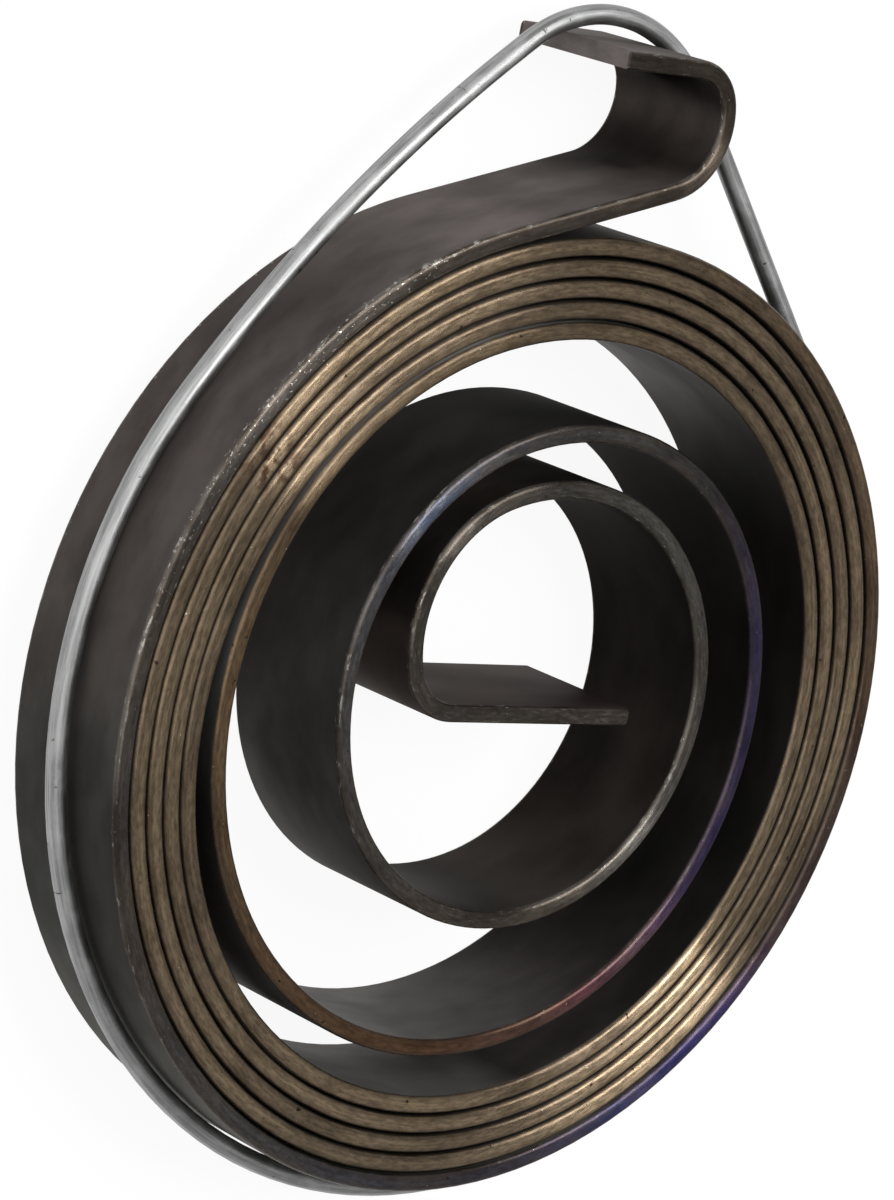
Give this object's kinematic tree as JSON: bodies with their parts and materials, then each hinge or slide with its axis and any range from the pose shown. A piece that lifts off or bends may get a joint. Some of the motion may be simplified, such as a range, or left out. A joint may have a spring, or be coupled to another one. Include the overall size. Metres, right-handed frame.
{
  "type": "drill press return spring",
  "caption": "Flat spiral return spring of blued steel strip with an outer hook and an inner tang across its eye, kept wound by a loop of galvanised wire.",
  "frame": {"origin": "centre of the first turn, on the plane that the spring lies on", "axes": "+Z along the coil axis, from the side it lies on; +Y from the centre to where the first turn starts, next to the hook; +X towards the bend of the hook"},
  "size_m": [0.0509, 0.0576, 0.008],
  "materials": {
    "spring_strip": "dark tempered scale with bronze and blue edges",
    "retaining_wire": "dull galvanised"
  },
  "bodies": {
    "root": {"spring_strip": "spring_strip", "retaining_wire": "retaining_wire"}
  },
  "joints": []
}
